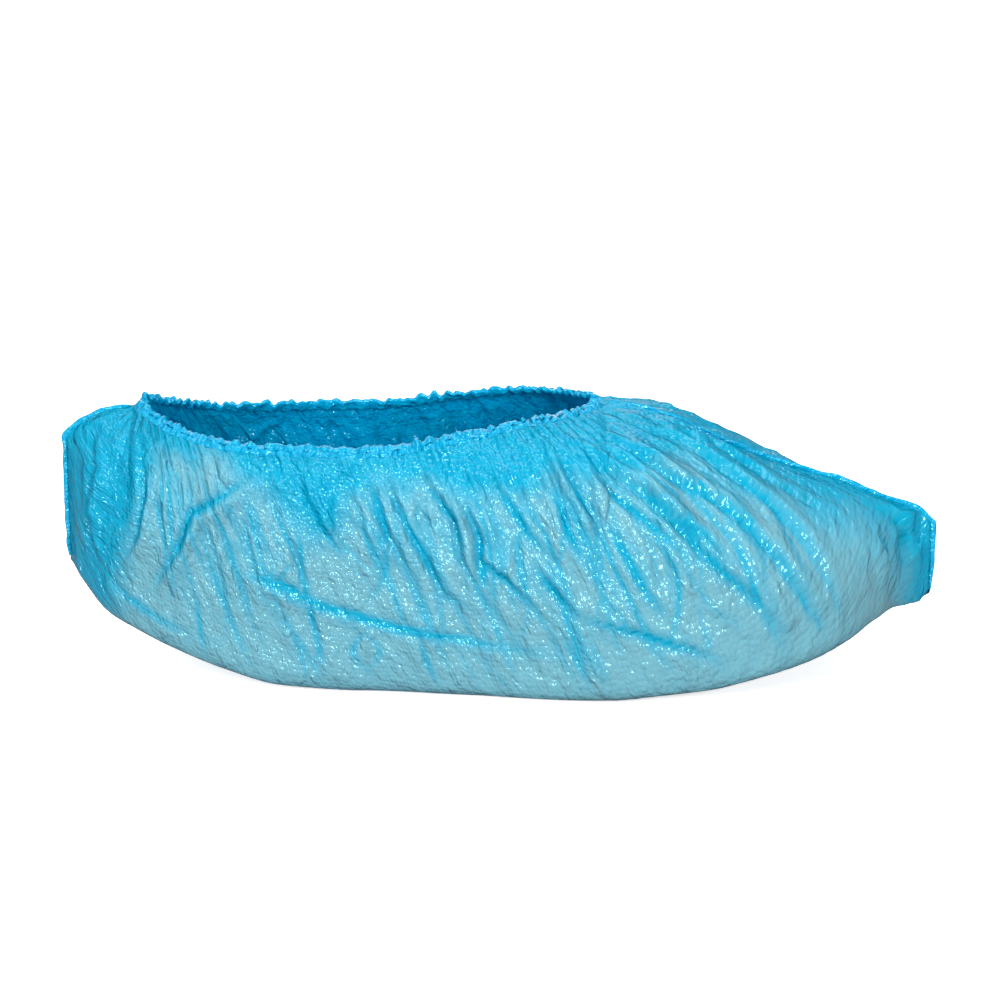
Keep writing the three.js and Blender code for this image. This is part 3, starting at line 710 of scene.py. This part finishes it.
ring, ring_out, ring_up = rim_ring()
turns = np.arange(HEM_STEPS + 1) / HEM_STEPS
middle, outwards, upwards = (around(values, turns) for values in (ring, ring_out, ring_up))
bm = bmesh.new()
for vert in bmesh.ops.create_grid(bm, x_segments=HEM_STEPS, y_segments=HEM_SIDES, size=1.0)["verts"]:
    i = round((vert.co.x + 1) / 2 * HEM_STEPS)
    angle = (vert.co.y + 1) * math.pi
    circle = Vector((math.cos(2 * math.pi * turns[i]), math.sin(2 * math.pi * turns[i]), 0))
    bunch = noise.noise(circle * BUNCHES)
    pleat = noise.noise(circle * PLEATS + Vector((0, 0, angle * PLEAT_TWIST)))
    swell = 1 + BUNCH_SWELL * bunch + PLEAT_SWELL * pleat
    taller = 1 + BUNCH_RISE * bunch + PLEAT_RISE * pleat
    side = math.copysign(abs(math.cos(angle)) ** SQUARENESS, math.cos(angle)) * HEM_THICKNESS / 2 * swell
    rise = (math.sin(angle) + 1) / 2 * (HEM_HEIGHT + HEM_OVERLAP) * taller - HEM_OVERLAP
    out = outwards[i] * (side - HEM_INSET + PLEAT_SWAY * pleat)
    vert.co = Vector(middle[i] + out + upwards[i] * rise) * MM
bmesh.ops.remove_doubles(bm, verts=bm.verts, dist=MERGE_MM * MM)
bmesh.ops.recalc_face_normals(bm, faces=bm.faces)
hem_piece = link_mesh("gathered_hem", bm)
print("hem", len(hem_piece.data.polygons), "faces")

# %% [markdown]
# ## The end welds
# A hot bar has melted the two sides of the film together along each end. The weld is a narrow stiff fin,
# slightly wavy, with the fine cross ribs that the bar pressed into it. Each is a grid wrapped round the
# bag's end line.

# %% Welds
WELD_HEIGHT, WELD_THICKNESS = 1.3, 0.6
WELD_SIDES = 8
WELD_FOOT = 0.8  # how far the fin reaches in between the two sides
WELD_MERGE_MM = 0.004
HEM_GAP, SOLE_GAP = 1.2, 0.5  # what the fin leaves free below the hem and at the sole, in mm
END_ROUNDING = 12  # over 1 keeps the fin's round ends short
RIB_PITCH, RIB_DEPTH = 1.3, 0.14  # in mm, and as a share of the thickness
HEIGHT_CHANGE, HEIGHT_SPAN = 0.45, 6  # as a share of the height, and over how many mm
WAVE, WAVE_SPAN = 0.7, 9  # how far the edge waves to either side, and over how many mm
BAG_MIDDLE = np.array((0.0, Y_SHIFT, 25.0))


def weld_piece(name, column, steps, wave_seed):
    """The fin along one end of the film, from the hem to the sole."""
    line, out = NEAR[0][column].copy(), NEAR[2][column] + FAR[2][column]
    line[:, 1] = (near_film[column, :, 1] + far_film[column, :, 1]) / 2
    heading = np.gradient(line, axis=0)
    heading /= np.linalg.norm(heading, axis=1)[:, None]
    out[:, 1] = 0
    out -= heading * np.einsum("ij,ij->i", out, heading)[:, None]
    out /= np.linalg.norm(out, axis=1)[:, None]
    out *= np.sign(np.einsum("ij,ij->i", out, line - BAG_MIDDLE))[:, None]
    run = np.concatenate([[0], np.cumsum(np.linalg.norm(np.diff(line, axis=0), axis=1))])
    start = HEM_THICKNESS / 2 + HEM_GAP
    bm = bmesh.new()
    for vert in bmesh.ops.create_grid(bm, x_segments=steps, y_segments=WELD_SIDES, size=1.0)["verts"]:
        t = (vert.co.x + 1) / 2
        at = start + t * (run[-1] - start - SOLE_GAP)
        angle = (vert.co.y + 1) * math.pi
        foot, lift, ahead = (
            np.array([np.interp(at, run, values[:, k]) for k in range(3)]) for values in (line, out, heading)
        )
        across = np.cross(lift, ahead)
        ends = min(1.0, END_ROUNDING * t, END_ROUNDING * (1 - t)) ** 0.5
        rib = 1 + RIB_DEPTH * math.sin(2 * math.pi * at / RIB_PITCH)
        change = HEIGHT_CHANGE * noise.noise(Vector((at / HEIGHT_SPAN, wave_seed, 0)))
        height = WELD_HEIGHT * ends * (1 + change)
        wave = WAVE * noise.noise(Vector((at / WAVE_SPAN, wave_seed, 5))) * (math.sin(angle) + 1) / 2
        wide = math.cos(angle) * WELD_THICKNESS / 2 * rib * ends
        rise = (math.sin(angle) + 1) / 2 * (height + WELD_FOOT) - WELD_FOOT
        vert.co = Vector(foot + lift * rise + across * (wide + wave)) * MM
    bmesh.ops.remove_doubles(bm, verts=bm.verts, dist=WELD_MERGE_MM * MM)
    bmesh.ops.holes_fill(bm, edges=[edge for edge in bm.edges if edge.is_boundary])
    bmesh.ops.recalc_face_normals(bm, faces=bm.faces)
    piece = link_mesh(name, bm)
    print(name, len(piece.data.polygons), "faces")
    return piece


heel_piece = weld_piece("heel_weld_fin", column=0, steps=260, wave_seed=3.0)
toe_piece = weld_piece("toe_weld_fin", column=COLUMNS, steps=520, wave_seed=8.0)

# %% [markdown]
# ## Film material
# The film is blue all through and lets light pass, so it gets a shader mix of gloss and translucency. It
# is embossed with fine dots, about a millimetre and a half apart, and over those runs a soft small
# crinkle that catches the light. Both are in one group, because the hem and the welds are of the same
# film. Its places and sizes are in millimetres, and Slope says how steep the crinkle stands.
# The crinkle's pattern also lightens its crests and deepens its hollows in the colour: a painted highlight
# and painted shade.

# %% Relief group
CRINKLES = ((1.0, 0.28, 0.7), (2.4, 0.33, 1.0))  # size, stretch down the film and weight of each
CRINKLE_PUSH_MM = 16.0  # how far the crinkle's pattern is pushed about
DOT_RISE = -0.28  # a dot is high in its middle, so its rise falls with the distance from there


def relief_group():
    """The dots and the crinkle as one height in millimetres, and the crinkle's own pattern, which the
    materials use for a painted highlight on its crests and painted shade in its hollows.
    """
    group = bpy.data.node_groups.new("film_relief", "ShaderNodeTree")
    for name, kind, start in (("Vector", "NodeSocketVector", None), ("Dot Pitch", "NodeSocketFloat", 1.3),
                              ("Crinkle Size", "NodeSocketFloat", 3.0), ("Slope", "NodeSocketFloat", 0.4)):
        socket = group.interface.new_socket(name, in_out="INPUT", socket_type=kind)
        if start is not None:
            socket.default_value = start
    for name in ("Height", "Facets"):
        group.interface.new_socket(name, in_out="OUTPUT", socket_type="NodeSocketFloat")
    nodes, links = group.nodes, group.links
    inputs, outputs = nodes.new("NodeGroupInput"), nodes.new("NodeGroupOutput")

    def sum_up(operation, *values):
        """The output of a Math node on these numbers or outputs."""
        node = nodes.new("ShaderNodeMath")
        node.operation = operation
        for k, value in enumerate(values):
            if isinstance(value, float):
                node.inputs[k].default_value = value
            else:
                links.new(value, node.inputs[k])
        return node.outputs[0]

    def vector(operation, *values):
        """The same for a Vector Math node."""
        node = nodes.new("ShaderNodeVectorMath")
        node.operation = operation
        for value, socket in zip(values, (node.inputs[0], node.inputs[1])):
            if isinstance(value, tuple):
                socket.default_value = value
            else:
                links.new(value, socket)
        return node.outputs[0]

    place = inputs.outputs["Vector"]
    drift = nodes.new("ShaderNodeTexNoise")
    drift.inputs["Scale"].default_value = 0.12
    drift.inputs["Detail"].default_value = 3.0
    links.new(place, drift.inputs["Vector"])
    around_zero = vector("SUBTRACT", drift.outputs["Color"], (0.5, 0.5, 0.5))
    pushed = vector("ADD", place, vector("MULTIPLY", around_zero, (CRINKLE_PUSH_MM,) * 3))
    bunching = nodes.new("ShaderNodeTexNoise")
    bunching.inputs["Scale"].default_value = 0.07
    bunching.inputs["Detail"].default_value = 2.0
    links.new(place, bunching.inputs["Vector"])
    strength = nodes.new("ShaderNodeMapRange")
    strength.inputs["From Min"].default_value = 0.35
    strength.inputs["From Max"].default_value = 0.62
    strength.inputs["To Min"].default_value = 0.4
    links.new(bunching.outputs["Fac"], strength.inputs["Value"])
    heights = []
    for share, stretch, weight in CRINKLES:
        folds = nodes.new("ShaderNodeTexNoise")
        folds.inputs["Detail"].default_value = 1.0
        folds.inputs["Roughness"].default_value = 0.4
        size = sum_up("MULTIPLY", inputs.outputs["Crinkle Size"], share)
        links.new(vector("MULTIPLY", pushed, (1.0, stretch, 1.0)), folds.inputs["Vector"])
        links.new(sum_up("DIVIDE", 1.0, size), folds.inputs["Scale"])
        tall = sum_up("MULTIPLY", sum_up("MULTIPLY", folds.outputs["Fac"], size), weight)
        tall = sum_up("MULTIPLY", tall, strength.outputs["Result"])
        heights.append(sum_up("MULTIPLY", tall, inputs.outputs["Slope"]))
        # The crinkle's own pattern goes out as well, for the painted highlight on its crests and painted
        # shade in its hollows.
        if share == 1.0:
            links.new(folds.outputs["Fac"], outputs.inputs["Facets"])
    dots = nodes.new("ShaderNodeTexVoronoi")
    dots.feature = "F1"
    dots.inputs["Randomness"].default_value = 0.6
    links.new(place, dots.inputs["Vector"])
    links.new(sum_up("DIVIDE", 1.0, inputs.outputs["Dot Pitch"]), dots.inputs["Scale"])
    domed = sum_up("MULTIPLY", dots.outputs["Distance"], dots.outputs["Distance"])
    domed = sum_up("MULTIPLY", sum_up("MULTIPLY", domed, inputs.outputs["Dot Pitch"]), DOT_RISE)
    heights.append(domed)
    links.new(sum_up("ADD", sum_up("ADD", heights[0], heights[1]), heights[2]), outputs.inputs["Height"])
    return group


RELIEF = relief_group()
print("relief group", len(RELIEF.nodes), "nodes")

# %% Film, hem and weld materials
LYING_BLUE = (0.185, 0.45, 0.525, 1)
LOOSE_BLUE = (0.0, 0.385, 0.575, 1)
DEEP_BLUE = (0.0, 0.27, 0.51, 1)
LOOSE_AT = 0.72  # where on the ramp from pale to deep the loose blue lies
LYING_TONE, LOOSE_TONE = 0.17, 0.75  # the place on the ramp of tight film, and how much further loose film is
PLAIN_TONE = 1.05  # the place of film that is blue all over
CRINKLE_HIGHLIGHT_AND_SHADE = -0.3  # how much the crinkle's pattern shifts that place: a painted highlight on its crests, painted shade in its hollows
GLOSS_TINT = (0.45, 0.92, 1.0, 1)  # part of the gloss comes back through the dye
FILM_SPAN = (SPAN_LENGTH, SPAN_DEPTH, 1.0)  # makes millimetres of the UV map
PER_METRE = (1000.0, 1000.0, 1000.0)


def film_material(name, laid_out, lies_tight, dot_pitch, crinkle_size, slope, seen_through):
    """Film with its relief on its UV map or not, pale where its loose value is low or blue all over, with a
    painted highlight on the crinkle's crests and painted shade in its hollows.
    """
    material = bpy.data.materials.new(name)
    material.use_nodes = True
    nodes, links = material.node_tree.nodes, material.node_tree.links
    shader, end = nodes["Principled BSDF"], nodes["Material Output"]
    place = nodes.new("ShaderNodeTexCoord")
    scaled = nodes.new("ShaderNodeVectorMath")
    scaled.operation = "MULTIPLY"
    scaled.inputs[1].default_value = FILM_SPAN if laid_out else PER_METRE
    links.new(place.outputs["UV" if laid_out else "Object"], scaled.inputs[0])
    relief = nodes.new("ShaderNodeGroup")
    relief.node_tree = RELIEF
    relief.inputs["Dot Pitch"].default_value = dot_pitch
    relief.inputs["Crinkle Size"].default_value = crinkle_size
    relief.inputs["Slope"].default_value = slope
    links.new(scaled.outputs[0], relief.inputs["Vector"])
    bump = nodes.new("ShaderNodeBump")
    bump.inputs["Distance"].default_value = MM
    links.new(relief.outputs["Height"], bump.inputs["Height"])
    ramp = nodes.new("ShaderNodeValToRGB")
    stops = ramp.color_ramp.elements
    stops[0].position, stops[0].color = 0.0, LYING_BLUE
    stops[1].position, stops[1].color = 1.0, DEEP_BLUE
    stops.new(LOOSE_AT).color = LOOSE_BLUE
    # The crinkle's pattern moves the colour towards pale on its crests and deep blue in its hollows: a
    # painted highlight and painted shade.
    tone_with_crinkle_light = nodes.new("ShaderNodeMath")
    tone_with_crinkle_light.operation = "MULTIPLY_ADD"
    tone_with_crinkle_light.inputs[1].default_value = CRINKLE_HIGHLIGHT_AND_SHADE
    links.new(relief.outputs["Facets"], tone_with_crinkle_light.inputs[0])
    if lies_tight:
        # The loose value also holds the grooves' deeper blue: double film and painted shade.
        loose = nodes.new("ShaderNodeAttribute")
        loose.attribute_name = "loose"
        level = nodes.new("ShaderNodeMath")
        level.operation = "MULTIPLY_ADD"
        level.inputs[1].default_value = LOOSE_TONE
        level.inputs[2].default_value = LYING_TONE
        links.new(loose.outputs["Fac"], level.inputs[0])
        links.new(level.outputs[0], tone_with_crinkle_light.inputs[2])
    else:
        tone_with_crinkle_light.inputs[2].default_value = PLAIN_TONE
    links.new(tone_with_crinkle_light.outputs[0], ramp.inputs["Fac"])
    links.new(ramp.outputs["Color"], shader.inputs["Base Color"])
    links.new(bump.outputs["Normal"], shader.inputs["Normal"])
    shader.inputs["Roughness"].default_value = 0.19
    shader.inputs["IOR"].default_value = 1.52
    shader.inputs["Specular IOR Level"].default_value = 0.7
    shader.inputs["Specular Tint"].default_value = GLOSS_TINT
    through = nodes.new("ShaderNodeBsdfTranslucent")
    links.new(ramp.outputs["Color"], through.inputs["Color"])
    mix = nodes.new("ShaderNodeMixShader")
    mix.inputs["Fac"].default_value = seen_through
    links.new(shader.outputs["BSDF"], mix.inputs[1])
    links.new(through.outputs["BSDF"], mix.inputs[2])
    links.new(mix.outputs["Shader"], end.inputs["Surface"])
    return material


film_piece.data.materials.append(film_material(
    "blue_film", laid_out=True, lies_tight=True, dot_pitch=1.6, crinkle_size=2.4, slope=0.38,
    seen_through=0.45))
film_piece.data.materials.append(film_material(
    "film_inside", laid_out=True, lies_tight=False, dot_pitch=1.6, crinkle_size=2.4, slope=0.45,
    seen_through=0.45))
hem_piece.data.materials.append(film_material(
    "gathered_film", laid_out=False, lies_tight=False, dot_pitch=1.5, crinkle_size=2.0, slope=0.6,
    seen_through=0.3))
weld_film = film_material(
    "welded_film", laid_out=False, lies_tight=False, dot_pitch=1.4, crinkle_size=2.0, slope=0.5,
    seen_through=0.25)
for piece in (heel_piece, toe_piece):
    piece.data.materials.append(weld_film)
print("materials", [material.name for material in bpy.data.materials])

# %% [markdown]
# ## What replaces what
# Each fine piece stands for one solid and rides on the part's only body, and the solid is hidden. The
# film is a sheet, cut to 380 mm of film along the bag, folded under the sole, 150 mm deep on either
# side.

# %% Pieces and bodies
for piece, node, slot in (
    (film_piece, "film_body", "film"),
    (hem_piece, "elastic_hem", "hem"),
    (heel_piece, "heel_weld", "weld"),
    (toe_piece, "toe_weld", "weld"),
):
    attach(piece, "root")
    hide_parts(node)
    print(piece.name, "stands for", node)

# %% [markdown]
# ## Floor and light
# The photograph is lit softly from all around, with a bright patch from above and in front that sparkles
# on every crinkle. A large panel overhead and one behind give the sheen, and two small bright ones in
# front the sparkle. The floor is shown almost white, but it lights the film as a grey one does, since a
# floor that is truly so bright washes the blue out.

# %% Floor and lights
FLOOR_HALF, FLOOR_DROP = 6.0, 0.0005  # in metres
FLOOR_LIT, FLOOR_SEEN, FLOOR_GLOW = 0.3, 0.9, 0.5
bm = bmesh.new()
bmesh.ops.create_grid(bm, x_segments=1, y_segments=1, size=FLOOR_HALF)
floor = link_mesh("floor", bm)
floor.location.z = -FLOOR_DROP
floor_paint = bpy.data.materials.new("floor_paint")
floor_paint.use_nodes = True
nodes, links = floor_paint.node_tree.nodes, floor_paint.node_tree.links
nodes["Principled BSDF"].inputs["Roughness"].default_value = 0.9
nodes["Principled BSDF"].inputs["Emission Color"].default_value = (1, 1, 1, 1)
seen = nodes.new("ShaderNodeLightPath")
paint = nodes.new("ShaderNodeMix")
paint.data_type = "RGBA"
paint.inputs["A"].default_value = (FLOOR_LIT,) * 3 + (1,)
paint.inputs["B"].default_value = (FLOOR_SEEN,) * 3 + (1,)
links.new(seen.outputs["Is Camera Ray"], paint.inputs["Factor"])
links.new(paint.outputs["Result"], nodes["Principled BSDF"].inputs["Base Color"])
glow = nodes.new("ShaderNodeMath")
glow.operation = "MULTIPLY"
glow.inputs[1].default_value = FLOOR_GLOW
links.new(seen.outputs["Is Camera Ray"], glow.inputs[0])
links.new(glow.outputs[0], nodes["Principled BSDF"].inputs["Emission Strength"])
floor.data.materials.append(floor_paint)
LIGHT_AIM = Vector((0, 0, 0.04))


def panel(name, at, size, watts):
    """A square light panel that faces the object."""
    light = bpy.data.lights.new(name, "AREA")
    light.shape = "SQUARE"
    light.size = size
    light.energy = watts
    lamp = bpy.data.objects.new(name, light)
    lamp.location = at
    lamp.rotation_euler = (LIGHT_AIM - Vector(at)).to_track_quat("-Z", "Y").to_euler()
    bpy.context.scene.collection.objects.link(lamp)


panel("overhead", (0.1, 0.1, 1.5), size=1.1, watts=18)
panel("back", (-0.2, 1.4, 0.75), size=1.2, watts=14)
panel("front_left", (-0.8, -1.15, 0.55), size=0.27, watts=17)
panel("front_right", (0.45, -1.3, 0.5), size=0.29, watts=22)
print("panels", [(light.name, light.energy) for light in bpy.data.lights])

# %% Room light
ROOM_COLOUR, ROOM_STRENGTH = (0.97, 0.98, 1.0, 1), 0.5
world = bpy.data.worlds.new("studio")
world.use_nodes = True
world.node_tree.nodes["Background"].inputs["Color"].default_value = ROOM_COLOUR
world.node_tree.nodes["Background"].inputs["Strength"].default_value = ROOM_STRENGTH
bpy.context.scene.world = world
bpy.context.scene.view_settings.view_transform = "Standard"
